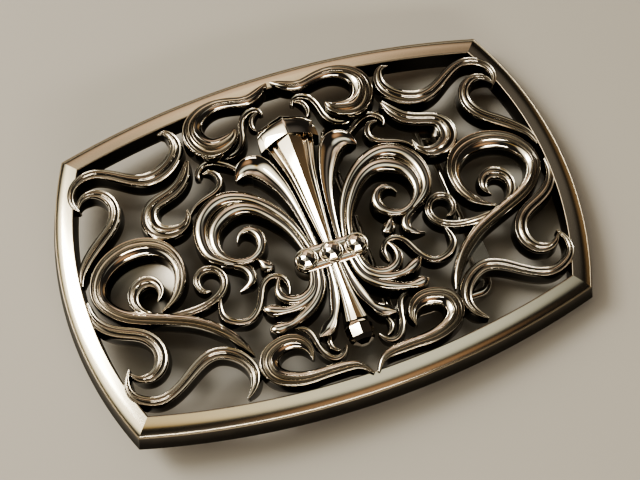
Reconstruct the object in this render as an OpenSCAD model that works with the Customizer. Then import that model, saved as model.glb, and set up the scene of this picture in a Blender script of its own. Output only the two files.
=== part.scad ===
// Openwork western belt buckle: a barrel-shaped bezel frame filled with pierced
// scrollwork round a fleur-de-lis, with a belt bail and a hook stud on its back.
// Origin: centre of the frame's back plane. +Z is the front, +X the bail's end.

/* [Bezel frame] */
// Half length at a mitred corner, on the outer top edge
corner_x = 40; // [39.5:0.1:40.5]
// Half height at a mitred corner, on the outer top edge
corner_y = 26.6; // [26.4:0.1:27]
// How far each short end bows out past its corners
end_bow = 5.8; // [5.5:0.1:6.5]
// How far each long side bows out past its corners
side_bow = 5.4; // [5.2:0.1:6]
// Width of the rolled moulding
moulding_w = 3.5; // [3.2:0.1:3.7]
// Height of the moulding's two edges above the back plane
edge_h = 3.5; // [3.2:0.1:3.6]
// Rise of the roll above its edges
roll_rise = 1; // [0.8:0.1:1.2]
// How far the outer wall flares out at the back
skirt = 0.9; // [0.5:0.1:1]

/* [Scrollwork levels] */
// Back of the scrollwork above the frame's back plane
scroll_base = 1.2; // [1:0.1:1.4]
// Crown of the thin tendrils
tendril_crown = 4.1; // [3.9:0.1:4.3]
// Crown of the main scrolls
scroll_crown = 4.5; // [4.3:0.1:4.7]
// Crown of the crest and foot scrolls that cross the frame
crest_crown = 6.3; // [6:0.1:6.5]
// Back of the crest and foot scrolls
crest_base = 2.4; // [2.2:0.1:2.6]
// Crown of the petals and leaves
petal_crown = 5.4; // [5.2:0.1:5.6]

/* [Fleur-de-lis] */
// Crown of the centre petal's cap, the highest point of the buckle
cap_crown = 6.9; // [6.8:0.1:7.2]
// Length of the collar across the petals
collar_l = 13.4; // [13:0.1:13.8]
// Width of the collar
collar_w = 5; // [4.8:0.1:5.2]
// Crown of the collar band
collar_crown = 5.9; // [5.7:0.1:6]
// Radius of each domed bead on the collar
bead_r = 1.9; // [1.7:0.1:2]
// Spacing of the collar beads
bead_pitch = 4.5; // [4.2:0.1:4.6]
// Radius of the finial below the tail
finial_r = 2.4; // [2.2:0.1:2.5]

/* [Bail and hinge] */
// Width of the belt that passes through the bail
belt_w = 38; // [36:1:38]
// Reach of the bail from its hinge to its end bar, centre to centre
bail_reach = 18; // [16:0.5:18]
// Radius of the bail wire
bail_wire_r = 0.8; // [0.7:0.05:0.9]
// Distance of the hinge from the centre of the buckle
hinge_x = 25; // [24.5:0.1:25.5]
// Gap between the frame's back plane and the bail wire
bail_gap = 0.5; // [0.4:0.1:0.8]
// Outer radius of a hinge barrel
barrel_r = 2; // [1.8:0.1:2.2]
// Length of a hinge barrel
barrel_l = 5; // [4.5:0.1:5.5]
// Distance of a hinge barrel's middle from the centre line
barrel_y = 13; // [12.6:0.1:13.4]
// Radial clearance of the bail wire in a barrel
hinge_clearance = 0.05; // [0.03:0.01:0.08]

/* [Hook] */
// Distance of the hook stud from the centre of the buckle
hook_x = 32; // [31:0.5:33]
// Radius of the hook's domed base pad
pad_r = 6.8; // [6.5:0.1:7]
// Rise of the pad's dome
pad_rise = 1; // [0.8:0.1:1.2]
// Radius of the hook stud, to fit a punched belt hole
hook_r = 1.9; // [1.7:0.1:2]
// Radius of the boss at the hook stud's root
boss_r = 2.8; // [2.6:0.1:3]
// Length of the boss along the stud
boss_l = 1.5; // [1.4:0.1:1.6]
// Lean of the hook stud towards the short end, in degrees
hook_lean = 15; // [10:1:18]

/* [Hidden] */

$fn = 64;

// Arcs of the frame's outer top edge, from each chord and its bow
end_arc_r = (corner_y * corner_y + end_bow * end_bow) / (2 * end_bow);
side_arc_r = (corner_x * corner_x + side_bow * side_bow) / (2 * side_bow);
end_centre_x = corner_x + end_bow - end_arc_r;
side_centre_y = corner_y + side_bow - side_arc_r;

// The mitre at a corner halves the angle between the two arcs' normals
end_normal = [corner_x - end_centre_x, corner_y] / end_arc_r;
side_normal = [corner_x, corner_y - side_centre_y] / side_arc_r;
mitre = (end_normal + side_normal) / norm(end_normal + side_normal);
mitre_inner = [corner_x, corner_y] - 8 * mitre;
mitre_outer = [corner_x, corner_y] + 4 * mitre;
far = 60;

// Circle of the roll, through both edges and the crown
roll_r = (moulding_w * moulding_w / 4 + roll_rise * roll_rise) / (2 * roll_rise);
roll_centre_z = edge_h + roll_rise - roll_r;

// Heights and places of the hardware on the back
wire_z = -bail_gap - bail_wire_r;
bail_corner_r = 2;
bail_half_w = belt_w / 2 + bail_wire_r;
bore_r = bail_wire_r + hinge_clearance;
saddle_w = 3;
pad_z = scroll_base - 0.3;
pad_under_z = -0.8;
stud_tip_z = -cap_crown;
stud_centre_z = stud_tip_z + hook_r;
stud_length = (pad_under_z - stud_centre_z) / cos(hook_lean);

// Places in the fleur-de-lis
collar_y = -6.5;
bead_rise = 1.0;
finial_y = -21.5;
finial_z = 3.8;

// Each ribbon below is a few points [x, y, width] on the right-hand side,
// and a piece is a list of ribbons
crest_scroll_ribbons = [[
    [0.4, 29.2, 0.3], [2, 28.1, 1.5], [5, 27, 1.9], [7.9, 27.5, 2], [10.9, 27.8, 2.2], [13.8, 26.9, 2.7],
    [15.9, 24.6, 3.5], [15.8, 21.9, 4.2], [13.7, 19.7, 4.4], [11, 19.8, 3.5], [9.2, 20.9, 1.9], [8.7, 21.9, 0.5]
]];
crest_tendril_ribbons = [[
    [12.2, 17.7, 0.5], [10.4, 17.7, 1.2], [8.9, 18.5, 1.3], [7.9, 20, 1.3], [7.4, 22.2, 1.2], [6.6, 24.3, 1.2],
    [5, 25.4, 1.1], [3.4, 25.2, 0.9], [2.9, 24.1, 0.4]
], [
    [3.6, 24.6, 0.4], [4.6, 24.2, 0.8], [5.3, 23, 0.9], [5.2, 21.6, 0.6], [4.8, 21, 0.2]
]];
upper_corner_scroll_ribbons = [[
    [22.2, 25.8, 0.3], [21, 25.9, 0.9], [19.9, 24.6, 1.7], [19.7, 22.4, 2.4], [21.2, 20, 2.9], [23.6, 18.4, 3],
    [26.5, 17.9, 2.8], [29.5, 19, 2.3], [32.5, 20.9, 2], [35.6, 22, 1.8], [38.4, 21.2, 1.6], [39.9, 19.3, 1.3],
    [40, 17, 0.9], [39.2, 15.6, 0.3]
]];
link_scroll_ribbons = [[
    [18.6, 19.3, 0.8], [19.6, 17.1, 2], [21.4, 15, 2.6], [24.3, 13.6, 2.6], [27, 12.4, 2.8], [28, 10, 3.4],
    [27.3, 7.9, 3.3], [25, 6.7, 2.8], [22.8, 7, 2], [21.5, 8.3, 1.2], [21.2, 10.1, 0.3]
]];
upper_shoulder_scroll_ribbons = [[
    [39.4, 16.1, 0.3], [38.5, 17.7, 1], [36.6, 18.4, 1.5], [34.7, 17.6, 1.9], [33.4, 15.5, 2], [33.6, 12.9, 2.2],
    [35.2, 10.6, 2.3], [37.8, 8.4, 2.2], [40.2, 6.1, 1.9], [41.7, 3.9, 1.3], [42.2, 1.8, 0.5]
]];
side_volute_ribbons = [[
    [30.5, -6.9, 0.3], [28, -5.4, 1.3], [26.2, -2.9, 2], [25.6, -0.3, 2.2], [26.3, 2.7, 2.7], [28.5, 4.9, 3.2],
    [31.5, 5.8, 3.6], [34.5, 5.5, 3.6], [37.5, 4, 3.4], [39.5, 1.4, 3], [39.9, -1.3, 2.7], [38.8, -3.7, 2.5],
    [36.3, -5.9, 2.4], [33, -7.4, 2.4], [29.5, -8.8, 2.3], [26, -10.4, 2.2], [23, -12.5, 2.1],
    [20.5, -15.1, 1.7], [18.8, -17.7, 1], [18, -19.4, 0.2]
]];
volute_heart_ribbons = [[
    [31.4, -7.3, 0.4], [33.6, -5.9, 1.3], [34.5, -3.8, 1.9], [33.8, -1.8, 2.4], [31.9, -0.9, 2.5],
    [30.1, -1.9, 1.9], [29.8, -3.5, 1.1], [30.7, -4.8, 0.2]
]];
lower_shoulder_scroll_ribbons = [[
    [42.1, -1.4, 0.5], [42, -4.1, 1.5], [40.4, -6.8, 2.1], [37.5, -8.6, 2.3], [34.6, -10.1, 2.3],
    [32.9, -12.4, 2.4], [32.8, -14.9, 2.4], [34.2, -16.9, 2.2], [36.3, -17.4, 1.5], [37.9, -16.5, 0.8],
    [38.6, -15.5, 0.2]
]];
lower_corner_scroll_ribbons = [[
    [21.2, -26.2, 0.3], [19.7, -24.7, 1.3], [18.9, -22.4, 1.9], [19.6, -20, 2.2], [21.4, -18.1, 2.3],
    [24.2, -17.1, 2.2], [27, -17.9, 2.1], [29.6, -19.6, 1.9], [32.1, -21.1, 1.8], [34.8, -21.8, 1.8],
    [37.4, -21, 1.7], [39.1, -19.3, 1.4], [39.3, -17.2, 1], [38.4, -15.1, 0.3]
]];
spiral_tendril_ribbons = [[
    [31, -7.8, 0.4], [27.5, -8.4, 1.3], [24.3, -8.4, 1.4], [21.3, -7.6, 1.4], [19.4, -6.1, 1.4],
    [18.9, -4.1, 1.4], [19.8, -2.5, 1.4], [21.6, -1.9, 1.5], [23.2, -2.9, 1.4], [23.4, -4.6, 1.1],
    [22.4, -5.9, 0.7], [21.6, -6, 0.2]
]];
foot_scroll_ribbons = [[
    [0.4, -29.1, 0.3], [2.2, -27.1, 1.3], [5, -26.5, 1.9], [7.9, -26.4, 2], [10.9, -26.3, 2.3],
    [13.8, -25.5, 2.7], [16, -23.6, 3.2], [16, -21.4, 3.3], [13.4, -19.7, 2.9], [11.1, -19.8, 2.6],
    [9.3, -21.4, 1.6], [9.1, -23.6, 0.3]
]];
foot_tendril_ribbons = [[
    [10.2, -17.2, 0.4], [8.7, -17.8, 1.1], [7.8, -19.5, 1.2], [7.4, -21.5, 1.2], [6.6, -23.3, 1.2],
    [5.1, -24.3, 1.1], [3.6, -23.7, 0.8], [2.9, -22.6, 0.3]
], [
    [4.7, -19.9, 0.3], [5.4, -21.1, 0.8], [5.2, -22.4, 0.8], [4.2, -23.2, 0.3]
]];
feather_tendrils_ribbons = [[
    [10.2, 14.3, 0.6], [11.8, 16, 1], [13.5, 17.2, 1.1], [15.3, 17.7, 1.2], [17, 16.9, 1.1], [17.6, 15.6, 0.8],
    [17.4, 14.8, 0.2]
], [
    [16.6, 15.9, 0.3], [15.3, 15.9, 0.9], [14.3, 14.9, 1.2], [14.2, 13.2, 1.2], [15.3, 12, 1.1],
    [17.4, 11.2, 0.9], [19.8, 10.1, 0.6], [21.4, 8.3, 0.2]
]];
heart_tendril_ribbons = [[
    [9.1, -10.8, 0.3], [8.8, -9.1, 0.9], [9.5, -7.5, 1.2], [11.2, -6.9, 1.3], [12.8, -7.8, 1.3],
    [13.8, -9.7, 1.3], [15, -11.8, 1.3], [16.8, -13.1, 1.4], [19, -12.8, 1.4], [20.8, -11.2, 1.3],
    [20.9, -9.3, 0.9], [20.5, -7.9, 0.4]
]];
side_petal_ribbons = [[
    [3.1, -4.6, 0.8], [4.4, 0.3, 1.1], [6.5, 4.2, 1.6], [9.8, 7.6, 2.1], [12.2, 8.9, 2.4], [14.8, 9.4, 2.6],
    [17.8, 8.3, 2.7], [19.9, 5.7, 2.6], [20.5, 2.6, 2.3], [19.9, -0.1, 1.9], [18.3, -1.8, 1.3], [16.4, -3, 0.5]
], [
    [4.2, -4.6, 0.8], [5.5, -0.1, 1.3], [7.3, 2.9, 1.8], [9.7, 5.5, 2.2], [12.8, 6.8, 2.7], [15.5, 6.2, 2.9],
    [17.6, 4.5, 2.5], [18.5, 1.9, 1.9], [18.1, -0.4, 1.4], [16.7, -2.1, 1.1], [14.5, -3.1, 1.1],
    [12.3, -2.6, 1.5], [10.9, -1, 1.7], [10.8, 0.8, 1.7], [12.1, 2.3, 1.3], [13.6, 2.2, 0.8], [14.7, 0.8, 0.2]
]];
petal_barb_ribbons = [[
    [18.6, -2.4, 0.6], [16.2, -3.1, 1.4], [14.5, -4.4, 1.7], [14.2, -6.1, 1.5], [15.2, -7.2, 0.9],
    [16.9, -7.8, 0.2]
]];
petal_bud_ribbons = [[
    [12.8, -2.9, 1.2], [11.9, -3.7, 0.8], [11.2, -4.9, 2.3], [10, -5.5, 0.4]
]];
feather_petal_ribbons = [[
    [2.1, -4.6, 1], [2.9, 2.6, 1.5], [4, 7.6, 2.3], [5.6, 11.4, 3.3], [7.8, 13.8, 3.8], [9.8, 13.6, 2.8],
    [11.2, 12.6, 0.5]
]];
lower_leaf_ribbons = [[
    [3, -8.7, 1.3], [3.6, -11.5, 1.7], [5.6, -14.2, 1.9], [8.6, -15.9, 1.9], [11.6, -16.5, 1.6],
    [13.9, -16.4, 0.6]
], [
    [3.9, -8.7, 1.2], [5, -12.1, 1.7], [8, -13.8, 2], [11, -13.9, 1.9], [13.2, -13, 1.8], [14.2, -12.3, 0.6]
], [
    [4.3, -8.7, 0.9], [5.1, -11.2, 1.4], [7, -12.6, 1.6], [9.2, -12.5, 1.7], [10.7, -11, 1.5],
    [10.6, -9.2, 0.9], [9.9, -7.8, 0.4]
]];
tail_plume_ribbons = [[
    [1.3, -8.8, 0.9], [1.7, -12.3, 1.3], [2.6, -15.8, 1.8], [3.9, -18.3, 2.2], [5.5, -19.8, 1.3],
    [6.8, -20.2, 0.3]
]];
centre_petal_ribbons = [[
    [0, -4.6, 1.7], [0, 4.5, 3.8], [0, 11.4, 6.2], [0, 16.9, 9.4]
]];
petal_cap_ribbons = [[
    [0, 16.9, 10.2], [0, 18.3, 11], [0, 20, 9], [0, 21.2, 5], [0, 21.7, 1]
]];
tail_quill_ribbons = [[
    [0, -8.7, 1.5], [0, -15.3, 2.5], [0, -19.2, 3.8]
]];

// Point at t between b and c on the smooth curve through a, b, c and d
function spline_point(a, b, c, d, t) =
    (2 * b + (c - a) * t + (2 * a - 5 * b + 4 * c - d) * t * t + (3 * b - a - 3 * c + d) * t * t * t) / 2;

// The path with extra points between each pair, so that it and its width run smoothly
samples = 4;
function smooth(path) = [
    for (i = [0 : len(path) - 2])
        for (s = [0 : samples - 1])
            spline_point(
                path[max(i - 1, 0)], path[i], path[i + 1], path[min(i + 2, len(path) - 1)], s / samples
            ),
    path[len(path) - 1]
];

// Point i of the path moved sideways by half the ribbon's width there
function edge_point(path, i, hand) =
    let (ahead = path[min(i + 1, len(path) - 1)])
    let (behind = path[max(i - 1, 0)])
    let (run = [ahead[0] - behind[0], ahead[1] - behind[1]])
    let (across = [-run[1], run[0]] / norm(run))
    [path[i][0], path[i][1]] + across * hand * max(path[i][2], 0.1) / 2;

// Closed outline of a ribbon: up one edge and back down the other
function ribbon_outline(path) =
    let (fine = smooth(path))
    concat(
        [for (i = [0 : len(fine) - 1]) edge_point(fine, i, 1)],
        [for (i = [len(fine) - 1 : -1 : 0]) edge_point(fine, i, -1)]
    );

// Puts a right-hand shape on the side asked for
module on_side(side) {
    if (side < 0) mirror([1, 0, 0]) children();
    else children();
}

// A cast piece of ribbons, standing from its back to its crown
module ribbons(paths, back, crown, side) {
    on_side(side)
        translate([0, 0, back])
            linear_extrude(crown - back)
                for (path = paths) polygon(ribbon_outline(path));
}

// Section of the moulding: flared wall, flat edges and a roll on top
module moulding_section() {
    polygon([[-moulding_w, 0], [skirt, 0], [0, edge_h], [-moulding_w, edge_h]]);
    intersection() {
        translate([-moulding_w / 2, roll_centre_z]) circle(roll_r);
        translate([-moulding_w, edge_h - 0.1]) square([moulding_w, roll_rise + 0.2]);
    }
}

// A full ring of the moulding about a rail's own centre
module moulding_ring(arc_r) {
    rotate_extrude() translate([arc_r, 0]) moulding_section();
}

module end_rail() {
    intersection() {
        translate([end_centre_x, 0, 0]) moulding_ring(end_arc_r);
        translate([0, 0, -1])
            linear_extrude(edge_h + roll_rise + 2)
                polygon([
                    mitre_inner, mitre_outer, [far, mitre_outer[1]], [far, -mitre_outer[1]],
                    [mitre_outer[0], -mitre_outer[1]], [mitre_inner[0], -mitre_inner[1]]
                ]);
    }
}

module side_rail() {
    intersection() {
        translate([0, side_centre_y, 0]) moulding_ring(side_arc_r);
        translate([0, 0, -1])
            linear_extrude(edge_h + roll_rise + 2)
                polygon([
                    mitre_inner, mitre_outer, [mitre_outer[0], far], [-mitre_outer[0], far],
                    [-mitre_outer[0], mitre_outer[1]], [-mitre_inner[0], mitre_inner[1]]
                ]);
    }
}

module bezel_frame() {
    color("wheat") {
        end_rail();
        mirror([1, 0, 0]) end_rail();
        side_rail();
        mirror([0, 1, 0]) side_rail();
    }
}

module crest_scroll(side) {
    color("silver") ribbons(crest_scroll_ribbons, crest_base, crest_crown, side);
}

module crest_tendril(side) {
    color("darkgray") ribbons(crest_tendril_ribbons, scroll_base, tendril_crown, side);
}

module upper_corner_scroll(side) {
    color("silver") ribbons(upper_corner_scroll_ribbons, scroll_base, scroll_crown, side);
}

module link_scroll(side) {
    color("silver") ribbons(link_scroll_ribbons, scroll_base, scroll_crown, side);
}

module upper_shoulder_scroll(side) {
    color("silver") ribbons(upper_shoulder_scroll_ribbons, scroll_base, scroll_crown, side);
}

module side_volute(side) {
    color("silver") ribbons(side_volute_ribbons, scroll_base, scroll_crown, side);
}

module volute_heart(side) {
    color("darkgray") ribbons(volute_heart_ribbons, pad_z + pad_rise, scroll_crown, side);
}

module lower_shoulder_scroll(side) {
    color("silver") ribbons(lower_shoulder_scroll_ribbons, scroll_base, scroll_crown, side);
}

module lower_corner_scroll(side) {
    color("silver") ribbons(lower_corner_scroll_ribbons, scroll_base, scroll_crown, side);
}

module spiral_tendril(side) {
    color("darkgray") ribbons(spiral_tendril_ribbons, scroll_base, tendril_crown, side);
}

module foot_scroll(side) {
    color("silver") ribbons(foot_scroll_ribbons, crest_base, crest_crown, side);
}

module foot_tendril(side) {
    color("darkgray") ribbons(foot_tendril_ribbons, scroll_base, tendril_crown, side);
}

module feather_tendrils(side) {
    color("darkgray") ribbons(feather_tendrils_ribbons, scroll_base, tendril_crown, side);
}

module heart_tendril(side) {
    color("darkgray") ribbons(heart_tendril_ribbons, scroll_base, tendril_crown, side);
}

module side_petal(side) {
    color("lightgray") ribbons(side_petal_ribbons, scroll_base, petal_crown, side);
}

module petal_barb(side) {
    color("darkgray") ribbons(petal_barb_ribbons, scroll_base, scroll_crown, side);
}

module petal_bud(side) {
    color("darkgray") ribbons(petal_bud_ribbons, scroll_base, scroll_crown, side);
}

module feather_petal(side) {
    color("lightgray") ribbons(feather_petal_ribbons, scroll_base, petal_crown, side);
}

module lower_leaf(side) {
    color("lightgray") ribbons(lower_leaf_ribbons, scroll_base, petal_crown, side);
}

module tail_plume(side) {
    color("lightgray") ribbons(tail_plume_ribbons, scroll_base, petal_crown, side);
}

module centre_petal() {
    color("white") ribbons(centre_petal_ribbons, scroll_base, petal_crown, 1);
}

module petal_cap() {
    color("white") ribbons(petal_cap_ribbons, scroll_base, cap_crown, 1);
}

module tail_quill() {
    color("white") ribbons(tail_quill_ribbons, scroll_base, petal_crown, 1);
}

module tail_finial() {
    color("lightgray") translate([0, finial_y, finial_z]) sphere(finial_r);
}

// A round-ended bar clamped across the petals and the tail
module collar() {
    end_x = (collar_l - collar_w) / 2;
    color("lightgray")
        translate([0, collar_y, scroll_base])
            linear_extrude(collar_crown - scroll_base) {
                square([2 * end_x, collar_w], center = true);
                translate([-end_x, 0]) circle(collar_w / 2);
                translate([end_x, 0]) circle(collar_w / 2);
            }
}

// Shallow domes that sit on the collar's face
module collar_beads() {
    dome_r = (bead_r * bead_r + bead_rise * bead_rise) / (2 * bead_rise);
    color("white")
        for (i = [-1 : 1])
            translate([i * bead_pitch, collar_y, collar_crown])
                intersection() {
                    translate([0, 0, bead_rise - dome_r]) sphere(dome_r);
                    cylinder(h = bead_rise + 1, r = bead_r);
                }
}

// A round pad with a shallow dome that shows through the volute
module hook_pad() {
    dome_r = (pad_r * pad_r + pad_rise * pad_rise) / (2 * pad_rise);
    color("tan")
        translate([-hook_x, 0, 0]) {
            translate([0, 0, pad_under_z]) cylinder(h = pad_z - pad_under_z, r = pad_r);
            intersection() {
                translate([0, 0, pad_z + pad_rise - dome_r]) sphere(dome_r);
                translate([0, 0, pad_z - 0.1]) cylinder(h = pad_rise + 1, r = pad_r);
            }
        }
}

// A round-tipped peg on a boss, leaning towards the short end and cut flat under the pad
module hook_stud() {
    color("tan")
        intersection() {
            translate([-hook_x, 0, pad_under_z])
                rotate([0, 180 + hook_lean, 0]) {
                    translate([0, 0, -1]) cylinder(h = boss_l + 1, r = boss_r);
                    cylinder(h = stud_length, r = hook_r);
                    translate([0, 0, stud_length]) sphere(hook_r);
                }
            translate([-hook_x - 10, -10, pad_under_z - 20]) cube([20, 20, 20]);
        }
}

// A tube on a saddle that is soldered to the back of the scrollwork
module hinge_barrel(y) {
    color("gray")
        translate([hinge_x, y, 0])
            difference() {
                union() {
                    translate([0, 0, wire_z])
                        rotate([90, 0, 0]) cylinder(h = barrel_l, r = barrel_r, center = true);
                    translate([-saddle_w / 2, -barrel_l / 2, wire_z])
                        cube([saddle_w, barrel_l, scroll_base - wire_z]);
                }
                translate([0, 0, wire_z])
                    rotate([90, 0, 0]) cylinder(h = barrel_l + 2, r = bore_r, center = true);
            }
}

// A quarter bend of wire about a point, starting at angle a
module wire_bend(x, y, a) {
    translate([x, y, 0])
        rotate([0, 0, a])
            rotate_extrude(angle = 90) translate([bail_corner_r, 0]) circle(bail_wire_r);
}

// A closed loop of round wire: hinge bar, two arms and an end bar
module bail() {
    near_x = hinge_x - bail_corner_r;
    end_x = hinge_x - bail_reach;
    bend_x = end_x + bail_corner_r;
    bend_y = bail_half_w - bail_corner_r;
    color("gray")
        translate([0, 0, wire_z]) {
            for (x = [hinge_x, end_x])
                translate([x, 0, 0])
                    rotate([90, 0, 0]) cylinder(h = 2 * bend_y, r = bail_wire_r, center = true);
            for (y = [-bail_half_w, bail_half_w])
                translate([bend_x, y, 0])
                    rotate([0, 90, 0]) cylinder(h = near_x - bend_x, r = bail_wire_r);
            wire_bend(near_x, bend_y, 0);
            wire_bend(bend_x, bend_y, 90);
            wire_bend(bend_x, -bend_y, 180);
            wire_bend(near_x, -bend_y, 270);
        }
}

bezel_frame();
crest_scroll(-1);  // crest_scroll_left
crest_scroll(1);  // crest_scroll_right
crest_tendril(-1);  // crest_tendril_left
crest_tendril(1);  // crest_tendril_right
upper_corner_scroll(-1);  // upper_corner_scroll_left
upper_corner_scroll(1);  // upper_corner_scroll_right
link_scroll(-1);  // link_scroll_left
link_scroll(1);  // link_scroll_right
upper_shoulder_scroll(-1);  // upper_shoulder_scroll_left
upper_shoulder_scroll(1);  // upper_shoulder_scroll_right
side_volute(-1);  // side_volute_left
side_volute(1);  // side_volute_right
volute_heart(-1);  // volute_heart_left
volute_heart(1);  // volute_heart_right
lower_shoulder_scroll(-1);  // lower_shoulder_scroll_left
lower_shoulder_scroll(1);  // lower_shoulder_scroll_right
lower_corner_scroll(-1);  // lower_corner_scroll_left
lower_corner_scroll(1);  // lower_corner_scroll_right
spiral_tendril(-1);  // spiral_tendril_left
spiral_tendril(1);  // spiral_tendril_right
foot_scroll(-1);  // foot_scroll_left
foot_scroll(1);  // foot_scroll_right
foot_tendril(-1);  // foot_tendril_left
foot_tendril(1);  // foot_tendril_right
feather_tendrils(-1);  // feather_tendrils_left
feather_tendrils(1);  // feather_tendrils_right
heart_tendril(-1);  // heart_tendril_left
heart_tendril(1);  // heart_tendril_right
side_petal(-1);  // side_petal_left
side_petal(1);  // side_petal_right
petal_barb(-1);  // petal_barb_left
petal_barb(1);  // petal_barb_right
petal_bud(-1);  // petal_bud_left
petal_bud(1);  // petal_bud_right
feather_petal(-1);  // feather_petal_left
feather_petal(1);  // feather_petal_right
lower_leaf(-1);  // lower_leaf_left
lower_leaf(1);  // lower_leaf_right
tail_plume(-1);  // tail_plume_left
tail_plume(1);  // tail_plume_right
centre_petal();
petal_cap();
collar();
collar_beads();
tail_quill();
tail_finial();
hook_pad();
hook_stud();
hinge_barrel(barrel_y);  // hinge_barrel_upper
hinge_barrel(-barrel_y);  // hinge_barrel_lower
bail();
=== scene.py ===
# %% [markdown]
# # A western belt buckle in antique silver
# The buckle is a barrel-shaped frame of four mitred rails, filled with cast scrolls round a
# fleur-de-lis. A hook stud and a hinged wire bail on its back hold the belt. Almost every piece is
# the same idea: a section carried along a path. So one small kit makes the whole buckle, and each
# piece adds only its own path, section and finish.

# %% Load the frame
import math

import bpy
import numpy as np
from mathutils import Matrix, Vector


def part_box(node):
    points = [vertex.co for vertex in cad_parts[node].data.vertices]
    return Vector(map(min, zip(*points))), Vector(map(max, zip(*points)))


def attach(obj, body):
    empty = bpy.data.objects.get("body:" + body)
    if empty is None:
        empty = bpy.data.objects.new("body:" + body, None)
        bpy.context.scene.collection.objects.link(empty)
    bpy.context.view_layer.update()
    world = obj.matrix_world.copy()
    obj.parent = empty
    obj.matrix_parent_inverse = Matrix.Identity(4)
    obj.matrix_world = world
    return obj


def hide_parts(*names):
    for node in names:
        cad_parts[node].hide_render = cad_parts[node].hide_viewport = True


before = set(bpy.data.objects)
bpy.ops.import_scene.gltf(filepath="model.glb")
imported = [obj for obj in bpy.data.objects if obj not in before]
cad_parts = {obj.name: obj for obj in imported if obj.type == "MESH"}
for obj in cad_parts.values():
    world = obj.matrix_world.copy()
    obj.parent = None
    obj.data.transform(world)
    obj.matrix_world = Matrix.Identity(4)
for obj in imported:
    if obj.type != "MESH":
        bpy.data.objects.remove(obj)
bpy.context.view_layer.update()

MM = 0.001

# %% [markdown]
# ## Camera
# The buckle is seen from above and a little from its lower left. A camera is a place, a point to
# look at and a small roll. The roll turns the camera's right and up about its own line of sight.

# %% Camera
camera_at = Vector((-23.7, -74.0, 176.2)) * MM
camera_aim = Vector((-0.9, -3.0, 3.5)) * MM
camera_roll = math.radians(-1.26)

forward = (camera_aim - camera_at).normalized()
level_right = forward.cross(Vector((0, 0, 1))).normalized()
level_up = level_right.cross(forward)
right = math.cos(camera_roll) * level_right + math.sin(camera_roll) * level_up
up = right.cross(forward)

camera = bpy.data.objects.new("camera", bpy.data.cameras.new("camera"))
bpy.context.scene.collection.objects.link(camera)
camera.matrix_world = Matrix.Translation(camera_at) @ Matrix((right, up, -forward)).transposed().to_4x4()
camera.data.lens = 60.7
camera.data.clip_start = 0.01
bpy.context.scene.camera = camera
print("camera distance in mm:", round((camera_aim - camera_at).length / MM, 1))

# %% [markdown]
# ## Shader kit
# Shader maths reads best as ordinary arithmetic. `Value` wraps one socket, and each operator adds
# the Math node that does it. `Shader.add` makes any other node from its type, settings and inputs.

# %% Values
class Value:
    """A socket that carries a number, on which + - * / and ** add Math nodes."""

    def __init__(self, shader, socket):
        self.shader = shader
        self.socket = socket

    def math(self, operation, *others):
        node = self.shader.add("ShaderNodeMath", {"operation": operation}, {})
        for place, item in enumerate(others):
            self.shader.feed(node.inputs[place], item)
        return Value(self.shader, node.outputs[0])

    def __add__(self, other):
        return self.math("ADD", self, other)

    def __sub__(self, other):
        return self.math("SUBTRACT", self, other)

    def __rsub__(self, other):
        return self.math("SUBTRACT", other, self)

    def __mul__(self, other):
        return self.math("MULTIPLY", self, other)

    def __truediv__(self, other):
        return self.math("DIVIDE", self, other)

    def __rtruediv__(self, other):
        return self.math("DIVIDE", other, self)

    def __pow__(self, other):
        return self.math("POWER", self, other)

    def clamp(self):
        above = self.math("MAXIMUM", self, 0.0)
        return self.math("MINIMUM", above, 1.0)

    __radd__ = __add__
    __rmul__ = __mul__


# %% Shaders
class Shader:
    """The node tree of a material or a world, with a short way to add a node and feed its sockets."""

    def __init__(self, owner):
        owner.use_nodes = True
        self.owner = owner
        self.tree = owner.node_tree
        self.surface = self.tree.nodes.get("Principled BSDF") or self.tree.nodes["Background"]

    def feed(self, socket, item):
        if isinstance(item, Value):
            item = item.socket
        if isinstance(item, bpy.types.NodeSocket):
            self.tree.links.new(item, socket)
        else:
            socket.default_value = item

    def add(self, kind, settings, inputs):
        node = self.tree.nodes.new(kind)
        for setting, choice in settings.items():
            setattr(node, setting, choice)
        for name, item in inputs.items():
            self.feed(node.inputs[name], item)
        return node

    def attribute(self, name):
        node = self.add("ShaderNodeAttribute", {"attribute_name": name}, {})
        return Value(self, node.outputs["Fac"])

    def noise(self, vector, scale, detail=2.0):
        node = self.add("ShaderNodeTexNoise", {}, {"Vector": vector, "Scale": scale, "Detail": detail})
        return Value(self, node.outputs["Fac"])

    def vector(self, operation, *items):
        return self.add("ShaderNodeVectorMath", {"operation": operation}, dict(enumerate(items)))

    def mix(self, factor, low, high):
        settings = {"data_type": "RGBA"}
        node = self.add("ShaderNodeMix", settings, {"Factor": factor, 6: low, 7: high})
        return node.outputs[2]


# %% [markdown]
# ## Metal finishes
# Antique silver is polished silver that was darkened all over and then rubbed bright again where a
# cloth can reach. So one attribute, `relief`, drives it: 1 on a ridge, 0 deep in a groove. It also
# carries painted shade: the side walls, the underside of the cap's hem and the sides of the petal
# bands are set lower, so they come out darker. Each finish mixes an oxide colour, a warm half-tone
# and bright metal by relief. A cloudy noise on object coordinates wanders the border between them,
# and a fine grain that runs along each piece's own UV map gives the polishing scratches. A painted
# texture could do the same, but relief comes mostly free with the shape, and it stays sharp at any
# distance.

# %% Finishes
cloud_scale = 260.0
speck_scale = 2600.0
scratch_stretch = (0.5, 16.0, 1.0)


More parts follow.
